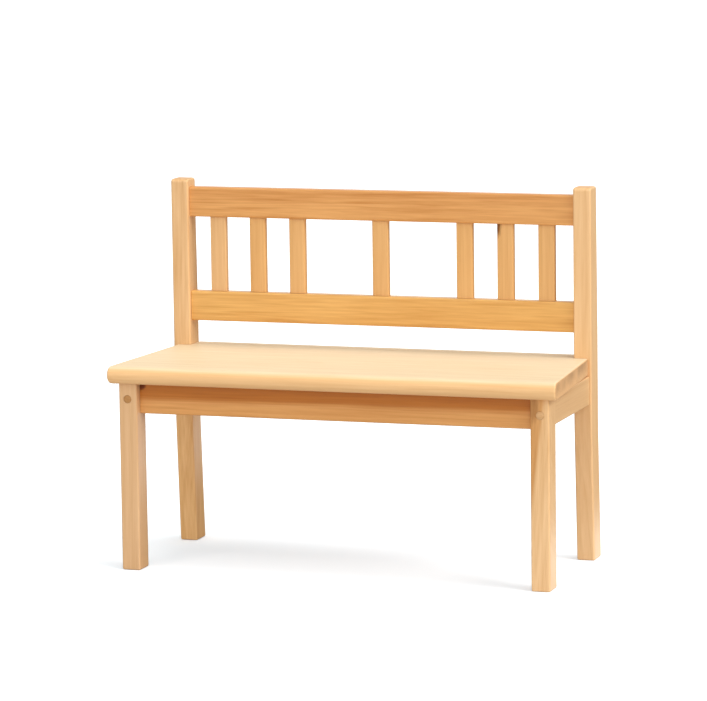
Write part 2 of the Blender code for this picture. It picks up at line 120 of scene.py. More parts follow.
def maths(tree, operation, *values):
    """A Math node; returns its output."""
    return node(tree, "ShaderNodeMath", dict(enumerate(values)), operation=operation).outputs[0]


def times(tree, first, second):
    """One number times another."""
    return maths(tree, "MULTIPLY", first, second)


def vector_maths(tree, operation, *values):
    """A Vector Math node; returns its vector, or its number for a length or a dot product."""
    made = node(tree, "ShaderNodeVectorMath", dict(enumerate(values)), operation=operation)
    return made.outputs["Value" if operation in ("LENGTH", "DOT_PRODUCT") else "Vector"]


def vector(tree, x=0.0, y=0.0, z=0.0):
    """Three numbers as one vector."""
    return node(tree, "ShaderNodeCombineXYZ", {"X": x, "Y": y, "Z": z}).outputs[0]


def split(tree, value):
    """The X, Y and Z of a vector."""
    return node(tree, "ShaderNodeSeparateXYZ", {0: value}).outputs


def vector_mix(tree, factor, first, second):
    """A mix of two vectors, with the factor held between 0 and 1."""
    inputs = {0: factor, 4: first, 5: second}
    return node(tree, "ShaderNodeMix", inputs, data_type="VECTOR").outputs[1]


def shader_mix(tree, factor, first, second):
    """A mix of two shader nodes."""
    return node(tree, "ShaderNodeMixShader", {0: factor, 1: first.outputs[0], 2: second.outputs[0]})


def remap(tree, value, low, high, to_low=0.0, to_high=1.0):
    """Map a range to another, clamped and smoothed at both ends."""
    inputs = dict(enumerate((value, low, high, to_low, to_high)))
    return node(tree, "ShaderNodeMapRange", inputs, interpolation_type="SMOOTHSTEP").outputs[0]


def new_material(name):
    """A material and its node tree."""
    made = bpy.data.materials.new(name)
    made.use_nodes = True
    return made, made.node_tree


def rgb(red, green, blue):
    """A colour written in the usual 0 to 255 values, as the linear colour that shaders take."""
    def linear(value):
        value /= 255
        return value / 12.92 if value <= 0.04045 else ((value + 0.055) / 1.055) ** 2.4
    return (linear(red), linear(green), linear(blue), 1.0)


print("grey 128 in linear light:", round(rgb(128, 128, 128)[0], 3))

# %% [markdown]
# Wood isn't a picture stuck on a board. A tree lays down a pale layer each spring and a dark one
# each summer, round its pith, and a saw cuts through that solid. So the pattern here is solid
# too: each point's distance from the pith, a little warped, is counted in rings. Straight grain,
# arched figure and end grain then come by themselves, and they agree at every edge. Painting
# each face with its own texture would be quicker, but the grain would break at the corners.

# %% Noise that runs along the grain
WAVER_REPEATS = (0.004, 0.02)
STREAK_REPEATS = (0.011, 0.26)
FIBRE_REPEATS = (0.014, 0.75)
CANAL_REPEATS = (0.06, 1.5)
KNOT_AND_SHADE_REPEATS = (0.05, 0.4)


def noise(tree, place, scale=1.0, detail=2.0, roughness=0.5):
    """Soft noise between 0 and 1."""
    inputs = {"Vector": place, "Scale": scale, "Detail": detail, "Roughness": roughness}
    return node(tree, "ShaderNodeTexNoise", inputs).outputs["Fac"]


def stretched_noise(tree, board, repeats, detail=2.0, shift=0.0):
    """Noise drawn out along the grain; repeats gives how many per millimetre along and across."""
    along, across = repeats
    place = node(tree, "ShaderNodeMapping", {
        "Vector": board, "Location": (shift, shift, shift), "Scale": (along, across, across)})
    return noise(tree, place.outputs[0], detail=detail, roughness=0.55)


def centred(tree, value, amount=1.0):
    """Turn a 0 to 1 value into one that swings either side of zero."""
    return times(tree, maths(tree, "SUBTRACT", value, 0.5), amount)


print("streaks, mm:", [round(1 / repeats) for repeats in STREAK_REPEATS], "along and across")

# %% [markdown]
# The rings are counted outwards from the pith, which may lean across the board. No two years are
# alike, so a slow noise spaces them unevenly, and each draws its own darkness. Plain circles
# would be simpler, but look printed.

# %% Rings round the pith
YEAR_REPEATS = (0.0015, 0.05)
YEAR_UNEVENNESS = 5.0
FAINTEST_YEAR = 0.45


def ring_place(tree, along, radius, repeats, layer=0.0):
    """Where to read a noise that follows the rings."""
    return vector(tree, times(tree, along, repeats[0]), times(tree, radius, repeats[1]), layer)


def pith_distance(tree, board, along, given):
    """Distance from the pith, which leans across the board and wavers a little."""
    pith = vector_maths(tree, "MULTIPLY_ADD", given["Lean"], along, given["Pith"])
    arm = vector_maths(tree, "MULTIPLY", vector_maths(tree, "SUBTRACT", board, pith), (0, 1, 1))
    waver = centred(tree, stretched_noise(tree, board, WAVER_REPEATS), 2.0)
    return maths(tree, "MULTIPLY_ADD", waver, given["Waver"], vector_maths(tree, "LENGTH", arm))


def summer_wood(tree, along, radius, ring_width):
    """0 in a ring's pale spring wood, up to 1 where it is darkest, just before the next ring."""
    uneven = noise(tree, ring_place(tree, along, radius, YEAR_REPEATS), detail=1.0)
    rings = maths(tree, "ADD", maths(tree, "DIVIDE", radius, ring_width),
                  centred(tree, uneven, YEAR_UNEVENNESS))
    season = maths(tree, "FRACT", rings)
    summer = maths(tree, "MINIMUM", remap(tree, season, 0.3, 0.9), remap(tree, season, 1.0, 0.93))
    year = maths(tree, "FLOOR", rings)
    chance = node(tree, "ShaderNodeTexWhiteNoise", {"W": year}, noise_dimensions="1D")
    strength = remap(tree, chance.outputs["Value"], 0.0, 1.0, FAINTEST_YEAR, 1.0)
    return times(tree, summer, strength)


print("faintest ring:", FAINTEST_YEAR, "of the strongest")

# %% [markdown]
# Broad bands of tone follow the rings, and streaks, fibres and fine resin canals run along the
# grain. They are added up into one darkness before any colour is chosen, because a dark line in
# pine is the same brown whatever made it; a colour for each would soon turn muddy.

# %% Bands, streaks, fibres and canals
BAND_REPEATS = (0.004, 0.16)
BAND_LAYER = 7.0
BAND_SWING = 3.0
STREAK_SWING = 5.0
MEAN_DARKNESS = 0.24
FIBRE_DARKNESS = 0.16
CANAL_DARKNESS = 0.10
CANAL_EDGE = (0.66, 0.76)


def wood_darkness(tree, along, radius, summer, fibres, given):
    """How dark the wood is, from 0 for pale spring wood to 1 for a full summer line."""
    board = given["Board"]
    bands = noise(tree, ring_place(tree, along, radius, BAND_REPEATS, BAND_LAYER))
    streaks = stretched_noise(tree, board, STREAK_REPEATS, detail=3.0, shift=13.0)
    canals = remap(tree, stretched_noise(tree, board, CANAL_REPEATS, shift=57.0), *CANAL_EDGE)
    darkness = MEAN_DARKNESS
    for layer, depth in ((summer, given["Lines"]),
                         (centred(tree, bands, BAND_SWING), given["Bands"]),
                         (centred(tree, streaks, STREAK_SWING), given["Streaks"]),
                         (centred(tree, fibres), FIBRE_DARKNESS),
                         (canals, CANAL_DARKNESS)):
        darkness = maths(tree, "MULTIPLY_ADD", layer, depth, darkness)
    return darkness


print("plain wood:", MEAN_DARKNESS, "of the way from pale to dark")

# %% [markdown]
# Heartwood, nearer to the pith, is redder. A knot is where a branch left the stem: a dark spot
# with a ragged edge, drawn out by the saw. On a few boards the same heartwood and knot are
# painted shade, where the seat overhangs them. Cut across, the fibres drink the lacquer and look
# darker, redder and duller. Each of these multiplies the board's own tone, so that one set of
# shares serves pale and dark boards alike.

# %% Heartwood and knots
# Spring wood, summer wood, heartwood, end grain and knot, each as a share of the board's tone;
# heartwood and knot also serve as painted shade
PALE_WOOD = (1.12, 1.14, 1.20)
DARK_WOOD = (0.74, 0.55, 0.30)
HEART_AND_SHADE_WOOD = (0.72, 0.50, 0.23)
SOAKED_WOOD = (0.92, 0.88, 0.86)
KNOT_AND_SHADE_WOOD = (0.32, 0.20, 0.09)
NO_KNOT = (9999, 0, 0)
KNOT_AND_SHADE_EDGE = (1.0, 0.45)
KNOT_AND_SHADE_RAGGEDNESS = 0.8


def heart_and_shade_share(tree, radius, given):
    """How much of the wood is heartwood, also used for painted shade: all nearer the pith than its
    radius.
    """
    inside = maths(tree, "SUBTRACT", given["Heart And Shade Radius"], radius)
    inside = maths(tree, "DIVIDE", inside, given["Heart And Shade Edge"])
    return times(tree, given["Heart And Shade Depth"], remap(tree, inside, -1.0, 1.0))


def knot_and_shade_share(tree, board, given):
    """How much of the wood is a knot, also used for painted shade."""
    away = vector_maths(tree, "SUBTRACT", board, given["Knot And Shade Place"])
    away = vector_maths(tree, "LENGTH", vector_maths(tree, "DIVIDE", away, given["Knot And Shade Size"]))
    ragged = centred(tree, stretched_noise(tree, board, KNOT_AND_SHADE_REPEATS), KNOT_AND_SHADE_RAGGEDNESS)
    share = remap(tree, maths(tree, "ADD", away, ragged), *KNOT_AND_SHADE_EDGE)
    return times(tree, share, given["Knot And Shade Depth"])


print("knot wood:", KNOT_AND_SHADE_WOOD, "of the board's tone")

# %% [markdown]
# All of this goes into one node group that every board shares, with named inputs for what
# differs from board to board: a change to the wood is then made once. A long board can also be
# painted paler towards its foot, as painted light on its lower part.

# %% The sawn pine group
FOOT_PAINTED_LIGHT_RANGE = (20.0, -60.0)
PINE_INPUTS = {
    "Float": {"End Grain": 0.0, "Ring Width": 3.0, "Waver": 6.0, "Lines": 0.10, "Streaks": 0.10,
              "Bands": 0.12, "Heart And Shade Radius": -100.0, "Heart And Shade Edge": 1.5, "Heart And Shade Depth": 0.0,
              "Knot And Shade Depth": 1.0, "Satin": 0.30},
    "Vector": {"Board": (0, 0, 0), "Pith": (0, 30, 60), "Lean": (0, 0, 0), "Knot And Shade Place": NO_KNOT,
               "Knot And Shade Size": (12, 8, 8), "Foot Painted Light": (1, 1, 1)},
    "Color": {"Tone": rgb(236, 182, 124)},
}


def add_socket(tree, side, kind, name):
    """Give a node group an input or an output."""
    return tree.interface.new_socket(name, in_out=side, socket_type="NodeSocket" + kind)


def pine_group():
    """Node group: millimetres in a board, with X along the grain, to colour, gloss and relief."""
    tree = bpy.data.node_groups.new("sawn pine", "ShaderNodeTree")
    for kind, defaults in PINE_INPUTS.items():
        for name, default in defaults.items():
            add_socket(tree, "INPUT", kind, name).default_value = default
    for name, kind in (("Colour", "Color"), ("Roughness", "Float"), ("Relief", "Float")):
        add_socket(tree, "OUTPUT", kind, name)
    given = tree.nodes.new("NodeGroupInput").outputs
    board = given["Board"]
    along = split(tree, board)["X"]
    radius = pith_distance(tree, board, along, given)
    summer = summer_wood(tree, along, radius, given["Ring Width"])
    fibres = stretched_noise(tree, board, FIBRE_REPEATS, detail=3.0, shift=31.0)
    darkness = wood_darkness(tree, along, radius, summer, fibres, given)

    shade = vector_mix(tree, darkness, PALE_WOOD, DARK_WOOD)
    # The heartwood and knot shares also carry painted shade on a few boards, and the foot share
    # carries painted light.
    for amount, share in ((heart_and_shade_share(tree, radius, given), HEART_AND_SHADE_WOOD),
                          (knot_and_shade_share(tree, board, given), KNOT_AND_SHADE_WOOD),
                          (remap(tree, along, *FOOT_PAINTED_LIGHT_RANGE), given["Foot Painted Light"]),
                          (given["End Grain"], SOAKED_WOOD)):
        shade = vector_maths(tree, "MULTIPLY", shade, vector_mix(tree, amount, (1, 1, 1), share))
    colour = vector_maths(tree, "MULTIPLY", given["Tone"], shade)

    roughness = maths(tree, "MULTIPLY_ADD", given["End Grain"], 0.22, given["Satin"])
    roughness = maths(tree, "ADD", roughness, centred(tree, fibres, 0.12))
    relief = maths(tree, "MULTIPLY_ADD", summer, 0.4, times(tree, fibres, 0.6))
    node(tree, "NodeGroupOutput", {"Colour": colour, "Roughness": roughness, "Relief": relief})
    return tree


PINE = pine_group()
print("sawn pine:", len(PINE.nodes), "nodes")

# %% [markdown]
# The photograph was lit like most furniture on a white page. One soft light hangs overhead and
# another stands to the right, a little under 40 degrees up; each throws a shadow, and only where
# the two overlap, under the left half, is the floor visibly grey. A wide light low in front and a
# weak one at the right fill the upright faces. A sun lamp with a wide angle gives the same edge to
# every shadow, where the light of a nearby panel would fall off along the seat. The world gives
# the open light, a little warm. The camera sees a white world, and so does the lacquer where it
# reflects the backdrop behind the bench; past the backdrop's edges it reflects a dimmer room.

# %% Lights and white surroundings
AMBIENT = (0.324, 0.300, 0.262)
BACKDROP_TOWARDS = (-math.sin(CAMERA_AZIMUTH), math.cos(CAMERA_AZIMUTH), 0)
BACKDROP_SIDE = (math.cos(CAMERA_AZIMUTH), math.sin(CAMERA_AZIMUTH), 0)
BACKDROP_EDGE = (0.80, 0.92)
# The side on which each lamp stands, its strength and its spread in degrees
LAMPS = {
    "ceiling light": ((0.12, 0.06, 1.0), 1.16, 34),
    "right light": ((1.28, -0.34, 1.0), 1.50, 34),
    "front light": ((0.10, -1.0, 0.45), 1.30, 70),
    "side light": ((1.0, -0.20, 0.15), 0.46, 50),
}


def add_sun(name, towards, strength, spread):
    """A sun lamp that shines from a direction, with a soft edge to its shadows."""
    lamp = bpy.data.lights.new(name, "SUN")
    lamp.energy = strength
    lamp.angle = math.radians(spread)
    linked(name, lamp).rotation_euler = Vector(towards).to_track_quat("Z", "Y").to_euler()


def seen_directly(tree, page):
    """1 for camera rays, the page's share for gloss and glass, and 0 for falling light."""
    path = node(tree, "ShaderNodeLightPath").outputs
    gloss = maths(tree, "MAXIMUM", path["Is Glossy Ray"], path["Is Transmission Ray"])
    return maths(tree, "MAXIMUM", path["Is Camera Ray"], times(tree, gloss, page))


def white_surroundings():
    """A world that lights softly and looks white."""
    world = bpy.data.worlds.new("white studio")
    world.use_nodes = True
    bpy.context.scene.world = world
    tree = world.node_tree
    tree.nodes.clear()
    falling = node(tree, "ShaderNodeBackground", {"Color": (*AMBIENT, 1)})
    seen = node(tree, "ShaderNodeBackground", {"Color": (1, 1, 1, 1)})
    looking = node(tree, "ShaderNodeTexCoord").outputs["Generated"]
    towards = vector_maths(tree, "DOT_PRODUCT", looking, BACKDROP_TOWARDS)
    backdrop = remap(tree, towards, *BACKDROP_EDGE)
    mix = shader_mix(tree, seen_directly(tree, backdrop), falling, seen)
    node(tree, "ShaderNodeOutputWorld", {"Surface": mix.outputs[0]})


for name, lamp in LAMPS.items():
    add_sun(name, *lamp)
white_surroundings()
bpy.context.scene.view_settings.view_transform = "Standard"
print("open light", AMBIENT, {name: lamp[1] for name, lamp in LAMPS.items()})

# %% [markdown]
# The floor of the page is white too, and only keeps a faint grey shadow under the bench. Its
# material does that by itself: part of what the camera sees is plain white, and the rest is a
# lit surface, so the shadow shows through the white. The sum lies a little above white, so only
# the deep of the shadow shows, as on a retouched page, and it lies higher in green and blue,
# which makes up for the warm light that the wood throws into its own shadow. The lacquer
# reflects that page only in a strip right of the middle and not far in front, which leaves the
# inner sides of the left legs free of glare. Light that bounces off the floor sees an ordinary
# pale surface. A floor lit until it clips would be white too, but would lose the shadow.

# %% Floor
FLOOR_SIZE = 30.0
FLOOR_WHITE = 0.65
FLOOR_LIT = 0.98
FLOOR_ROOM = 0.10
ABOVE_WHITE = (0.41, 0.47, 0.50)
PAPER_LEFT = (0.0, 0.27)
PAPER_RIGHT = (0.62, 0.40)
PAPER_FRONT = (-1.20, -0.70)
LAMP_LIGHT = sum(strength * Vector(towards).normalized().z
                 for towards, strength, spread in LAMPS.values()) / math.pi
FLOOR_GLOW = [1.0 + above - FLOOR_LIT * (open_light + LAMP_LIGHT)
              for above, open_light in zip(ABOVE_WHITE, AMBIENT)]


def matt(tree, level):
    """A matt surface that sends back the same share of every colour."""
    return node(tree, "ShaderNodeBsdfDiffuse", {"Color": (level, level, level, 1)})


def floor_finish():
    """White to the camera, white in part to the lacquer, and pale to all other light."""
    finish, tree = new_material("white floor")
    tree.nodes.clear()
    glow = node(tree, "ShaderNodeEmission", {"Color": (*FLOOR_GLOW, 1)})
    lit = matt(tree, FLOOR_LIT)
    page = node(tree, "ShaderNodeAddShader", {0: lit.outputs[0], 1: glow.outputs[0]})
    at = node(tree, "ShaderNodeTexCoord").outputs["Object"]
    side = vector_maths(tree, "DOT_PRODUCT", at, BACKDROP_SIDE)
    behind = vector_maths(tree, "DOT_PRODUCT", at, BACKDROP_TOWARDS)
    paper = times(tree, remap(tree, side, *PAPER_LEFT), remap(tree, side, *PAPER_RIGHT))
    paper = times(tree, paper, remap(tree, behind, *PAPER_FRONT))
    seen = shader_mix(tree, seen_directly(tree, paper), matt(tree, FLOOR_ROOM), page)
    mix = shader_mix(tree, seen_directly(tree, 1.0), matt(tree, FLOOR_WHITE), seen)
    node(tree, "ShaderNodeOutputMaterial", {"Surface": mix.outputs[0]})
    return finish


def white_floor():
    """A wide flat square under the bench."""
    bm = bmesh.new()
    bmesh.ops.create_grid(bm, x_segments=1, y_segments=1, size=FLOOR_SIZE / 2)
    mesh = bpy.data.meshes.new("floor")
    bm.to_mesh(mesh)
    bm.free()
    mesh.materials.append(floor_finish())
    floor = linked("floor", mesh)


white_floor()
print("floor:", FLOOR_SIZE, "m wide; lamps give it", round(LAMP_LIGHT, 2),
      "and its glow is", [round(v, 2) for v in FLOOR_GLOW])

# %% [markdown]
# Each board came from another part of the log, so each gets its own finish: where the pith lay,
# how far apart the rings are, how dark the wood is and how strong its figure. The pattern is
# turned so that its long axis follows the board's grain, and measured from the board's middle in
# millimetres. A clear satin lacquer lies over the wood, and its gloss is the same on all the
# boards of the frame.

# %% A finish for one board
GRAIN_TURN = {"x": (0, 0, 0), "y": (0, 0, math.pi / 2), "z": (0, -math.pi / 2, 0)}
CUT_ACROSS = (0.6, 0.9)
LACQUER_IOR = 1.46
RELIEF_STRENGTH = 0.5
RELIEF_DEPTH = 0.03 * MM


def middle_of(name):
    """The middle of a solid's box."""
    low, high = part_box(name)
    return (Vector(low) + Vector(high)) / 2


def size_of(name):
    """The length, depth and height of a solid's box."""
    low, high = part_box(name)
    return Vector(high) - Vector(low)


def along_grain(tree, at, grain, middle=(0, 0, 0)):
    """Millimetres from the middle, turned so that X runs along the grain."""
    return node(tree, "ShaderNodeMapping", {
        "Vector": at, "Location": middle, "Rotation": GRAIN_TURN[grain], "Scale": (MM, MM, MM)},
        vector_type="TEXTURE").outputs[0]


def board_space(tree, grain, middle):
    """A place along the board's grain, and how far the board is cut across there."""
    at = node(tree, "ShaderNodeTexCoord").outputs
    facing = split(tree, at["Normal"])[grain.upper()]
    across = remap(tree, maths(tree, "ABSOLUTE", facing), *CUT_ACROSS)
    return along_grain(tree, at["Object"], grain, middle), across


def dress(tree, colour, roughness, height, strength, depth):
    """Feed a colour, a roughness and a relief to the material's shader."""
    shader = tree.nodes["Principled BSDF"]
    bump = node(tree, "ShaderNodeBump", {"Height": height, "Strength": strength, "Distance": depth})
    tree.links.new(colour, shader.inputs["Base Color"])
    tree.links.new(roughness, shader.inputs["Roughness"])
    tree.links.new(bump.outputs[0], shader.inputs["Normal"])
    return shader


def lacquered(tree, inputs):
    """Make the surface pine with these inputs, under a satin lacquer."""
    colour, roughness, relief = node(tree, "ShaderNodeGroup", inputs, node_tree=PINE).outputs
    shader = dress(tree, colour, roughness, relief, RELIEF_STRENGTH, RELIEF_DEPTH)
    shader.inputs["IOR"].default_value = LACQUER_IOR


def pine_finish(name, grain, cut):
    """Lacquered pine for one board; cut holds the pine group's inputs."""
    finish, tree = new_material("pine " + name.replace("_", " "))
    board, across = board_space(tree, grain, middle_of(name))
    lacquered(tree, {"Board": board, "End Grain": across, **cut})
    return finish


print("middle of the seat, mm:", [round(v / MM, 1) for v in middle_of("seat_board")])

# %% [markdown]
# The construction file's solids have the right shape, but they are cut into loose triangles, and
# each small facet of a rounded edge would catch the light by itself. So each wooden piece gets a
# merged copy, whose shading runs smoothly round the eased edges and stays flat on the flats. It
# takes the place of the solid, point for point, and the solid stays underneath for the physics.

# %% Smoothly shaded copies of the boards
MERGE_DISTANCE = 0.01 * MM
FLAT_WITHIN = math.radians(0.4)
SOFT_BELOW = math.radians(38)


def smooth_copy(name, finish):
    """A merged copy of a solid, shaded smoothly over its rounded edges."""
    bm = bmesh.new()
    bm.from_mesh(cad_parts[name].data)
    bmesh.ops.remove_doubles(bm, verts=bm.verts, dist=MERGE_DISTANCE)
    bmesh.ops.dissolve_limit(bm, angle_limit=FLAT_WITHIN, verts=bm.verts, edges=bm.edges)
    mesh = bpy.data.meshes.new(name + "_wood")
    bm.to_mesh(mesh)
    bm.free()
    mesh.shade_smooth()
    mesh.set_sharp_from_angle(angle=SOFT_BELOW)
    mesh.materials.append(finish)
    piece = linked(name + "_wood", mesh)
    even = piece.modifiers.new("even shading", "WEIGHTED_NORMAL")
    even.keep_sharp = True
    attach(piece, BODY)
    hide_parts(name)
    return piece


def solids_named(start):
    """The names of the solids that start with a word, in order."""
    return sorted(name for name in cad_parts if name.startswith(start))


print("solids that are slats:", solids_named("back_slat"))

# %% [markdown]
# The rails and aprons are sawn along the log a little off the quarter, so their faces show long
# nearly straight lines, and where a board leans across the rings the lines taper. The legs are
# plainer. The right front leg was cut beside the darker heart of the tree, which runs out of its
# inner edge as a long wedge, and a faint dark knot spot at its upper end, under the seat, is
# painted shade. The front apron's darker upper half, drawn as heartwood, is painted shade under
# the seat's overhang, and a small dark knot spot in its upper left corner is painted shade where
# leg, apron and seat meet. The left rear post is painted paler towards its foot, a painted light
# on the leg under the seat. Random cuts would save this table, but lose these boards.

# %% The boards of the frame
LEG_TONE = rgb(229, 188, 137)
RIGHT_LEG_TONE = rgb(235, 195, 144)
APRON_TONE = rgb(220, 161, 96)
BOARDS = {
    "front_leg_left": ("z", {
        "Pith": (0, 44, -70), "Ring Width": 3.6, "Tone": rgb(223, 183, 137)}),
    # Its knot spot near the top is painted shade under the seat; its heartwood wedge is the wood's
    # own.
    "front_leg_right": ("z", {
        "Pith": (0, 8, 70), "Lean": (0, 0, -0.12), "Ring Width": 4.0, "Waver": 2.0,
        "Tone": RIGHT_LEG_TONE, "Streaks": 0.16, "Bands": 0.18, "Heart And Shade Radius": 65.4,
        "Heart And Shade Edge": 2.4, "Heart And Shade Depth": 0.72, "Knot And Shade Place": (120, -16, 8),
        "Knot And Shade Size": (24, 14, 10), "Knot And Shade Depth": 0.42}),
    # Its paler foot is painted light on the leg under the seat.
    "rear_post_left": ("z", {
        "Pith": (0, 60, -52), "Lean": (0, 0.02, 0), "Ring Width": 3.4, "Tone": LEG_TONE,
        "Streaks": 0.18, "Bands": 0.18, "Foot Painted Light": (1.19, 1.16, 1.04)}),
    "rear_post_right": ("z", {
        "Pith": (0, 66, 48), "Lean": (0, -0.02, 0.01), "Ring Width": 3.8,
        "Tone": RIGHT_LEG_TONE, "Bands": 0.15}),
    # Its heartwood band on the upper half is painted shade under the seat's overhang, and its
    # corner knot spot is painted shade where leg, apron and seat meet.
    "front_apron": ("x", {
        "Pith": (0, 26, 60), "Lean": (0, 0, 0.004), "Ring Width": 4.5, "Waver": 3.0,
        "Tone": APRON_TONE, "Lines": 0.20, "Streaks": 0.16, "Heart And Shade Radius": 69.0,
        "Heart And Shade Edge": 5.0, "Heart And Shade Depth": 1.0, "Knot And Shade Place": (-284, -9, 17),
        "Knot And Shade Size": (9, 10, 6)}),
    "rear_apron": ("x", {"Pith": (0, -20, 58), "Ring Width": 3.6, "Tone": APRON_TONE}),
    "side_apron_left": ("y", {"Pith": (0, 30, 60), "Ring Width": 3.8, "Tone": LEG_TONE}),
    "side_apron_right": ("y", {"Pith": (0, -34, 62), "Ring Width": 3.8, "Tone": LEG_TONE}),
    "top_back_rail": ("x", {
        "Pith": (0, 26, 58), "Lean": (0, 0, 0.006), "Ring Width": 6.0, "Waver": 4.0,
        "Tone": rgb(221, 163, 98), "Lines": 0.20, "Streaks": 0.30, "Bands": 0.16,
        "Heart And Shade Radius": 62.0, "Heart And Shade Edge": 6.0, "Heart And Shade Depth": 0.22}),
    "lower_back_rail": ("x", {
        "Pith": (0, 30, -60), "Lean": (0, 0, 0.02), "Ring Width": 6.5, "Waver": 4.0,
        "Tone": rgb(226, 176, 102), "Lines": 0.16, "Streaks": 0.26, "Bands": 0.14,
        "Heart And Shade Radius": 64.0, "Heart And Shade Edge": 4.0, "Heart And Shade Depth": 0.16}),
}

for name, (grain, cut) in BOARDS.items():
    smooth_copy(name, pine_finish(name, grain, cut))
print("boards of the frame:", len(BOARDS))

# %% [markdown]
# Under the seat, a glued block in each corner ties the leg, the two aprons and the seat together.
# The blocks are offcuts with close rings, and their grain runs along the bench in one corner and
# across it in the next. Nobody sees them from the front, so each cut just follows from the
# block's number.

# %% Corner blocks
BLOCK_TONE = rgb(226, 176, 122)
block_names = solids_named("corner_block")
for number, name in enumerate(block_names):
    cut = {"Pith": (0, 18 + 9 * number, -40 + 21 * number), "Ring Width": 2.2 + 0.3 * number,
           "Tone": BLOCK_TONE, "Lines": 0.30}
    smooth_copy(name, pine_finish(name, "xy"[number % 2], cut))
print("corner blocks:", len(block_names))

# %% [markdown]
# A pine board this wide would cup, so a seat like this is glued up from narrow staves whose rings
# curve up and down by turns. Their joints hardly show on the face: only the grain changes, and
# the ends show the arcs. So the seat's finish first finds which stave a point is in, measures
# from that stave's own middle, and turns every second stave over. Its top is painted paler than
# the rounded edges, a painted highlight where the light falls on it, its lacquer is duller than
# the frame's, and its ends have drunk the lacquer in soft dark patches.

# %% The seat
STAVES = 4
STAVE_STRETCH = 977.0
# The seat top's paler tone and its facing range paint a highlight on faces that turn upward.
SEAT_TOP_PAINTED_HIGHLIGHT_TONE = rgb(236, 218, 183)
SEAT_EDGE_TONE = rgb(238, 195, 140)
SEAT_PAINTED_HIGHLIGHT_FACING = (0.50, 1.0)
SEAT_STAIN = (0.63, 0.60, 0.60)
STAIN_REPEATS = (0.02, 0.03)
STAIN_PATCHES = (0.25, 0.75, 0.4, 1.0)
STAIN_HEIGHT = (-12.0, 9.0, 0.2, 1.0)
SEAT_CUT = {"Pith": (0, 6, -38), "Ring Width": 3.2, "Waver": 5.0, "Lines": 0.08, "Streaks": 0.08,
            "Bands": 0.08, "Satin": 0.55}


def stave_space(tree, place):
    """A place in its own stave: each has its own stretch of log, and every second is turned."""
    low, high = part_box("seat_board")
    width = (high[1] - low[1]) / MM / STAVES
    steps = maths(tree, "DIVIDE", place["Y"], width)
    stave = maths(tree, "FLOOR", steps)
    within = times(tree, centred(tree, maths(tree, "FRACT", steps)), width)
    turned = centred(tree, maths(tree, "FLOORED_MODULO", stave, 2.0), 2.0)
    return vector(tree, maths(tree, "MULTIPLY_ADD", stave, STAVE_STRETCH, place["X"]), within,
                  times(tree, place["Z"], turned))


def seat_finish():
    """Lacquered pine glued up from staves, painted paler on top as a highlight, and stained at the
    ends.
    """
    finish, tree = new_material("pine seat staves")
    board, across = board_space(tree, "x", middle_of("seat_board"))
    place = split(tree, board)
    # Painted highlight: faces that turn upward take the paler top tone.
    upward = split(tree, node(tree, "ShaderNodeTexCoord").outputs["Normal"])["Z"]
    tone = vector_mix(tree, remap(tree, upward, *SEAT_PAINTED_HIGHLIGHT_FACING), SEAT_EDGE_TONE[:3],
                      SEAT_TOP_PAINTED_HIGHLIGHT_TONE[:3])
    patches = stretched_noise(tree, board, STAIN_REPEATS, detail=1.0, shift=3.0)
    stained = times(tree, remap(tree, patches, *STAIN_PATCHES),
                    remap(tree, place["Z"], *STAIN_HEIGHT))
    stained = times(tree, across, stained)
    tone = vector_maths(tree, "MULTIPLY", tone, vector_mix(tree, stained, (1, 1, 1), SEAT_STAIN))
    own = stave_space(tree, place)
    lacquered(tree, {"Board": own, "End Grain": across, "Tone": tone, **SEAT_CUT})
    return finish


seat = smooth_copy("seat_board", seat_finish())
print("seat faces:", len(seat.data.polygons))

# %% [markdown]
# Slats, plugs, nuts and screws each repeat one small piece at known places. Geometry Nodes suit
# that: the script gives a point and two directions for every copy, and a tree draws the piece
# once and sets it out. Copying objects in a loop would do as well, but here a change of size is
# a change of one named input. The result is kept as a plain mesh.

# %% Points and directions for the copies
def points_object(name, places):
    """A mesh of loose points; each place is a point, the way it faces and the way it runs."""
    mesh = bpy.data.meshes.new(name)
    mesh.from_pydata([place[0] for place in places], [], [])
    for label, column in (("facing", 1), ("along", 2)):
        layer = mesh.attributes.new(label, "FLOAT_VECTOR", "POINT")
        layer.data.foreach_set("vector", [value for place in places for value in place[column]])
    return linked(name, mesh)


def set_out(tree, points, drawn, finish):
    """Copies of the drawn piece at the points, realised, each marked with its number and middle."""
    facing, along = (node(tree, "GeometryNodeInputNamedAttribute", {"Name": label},
                          data_type="FLOAT_VECTOR").outputs[0] for label in ("facing", "along"))
    outward = node(tree, "FunctionNodeAlignRotationToVector", {"Vector": facing}, axis="Z")
    turned = node(tree, "FunctionNodeAlignRotationToVector",
                  {"Rotation": outward.outputs[0], "Vector": along}, axis="Y", pivot_axis="Z")
    copies = node(tree, "GeometryNodeInstanceOnPoints",
                  {"Points": points, "Instance": drawn, "Rotation": turned.outputs[0]})
    for mark, source, kind in (("number", "GeometryNodeInputIndex", "FLOAT"),
                               ("middle", "GeometryNodeInputPosition", "FLOAT_VECTOR")):
        copies = node(tree, "GeometryNodeStoreNamedAttribute", {
            "Geometry": copies.outputs[0], "Name": mark, "Value": node(tree, source).outputs[0]},
            data_type=kind, domain="INSTANCE")
    real = node(tree, "GeometryNodeRealizeInstances", {"Geometry": copies.outputs[0]})
    return node(tree, "GeometryNodeSetMaterial", {"Geometry": real.outputs[0], "Material": finish})


# %% [markdown]
# The tree gets one named input for each size, so a drawing function only reads them. A
# modifier's inputs are set by their identifiers, because a label alone doesn't reach them.

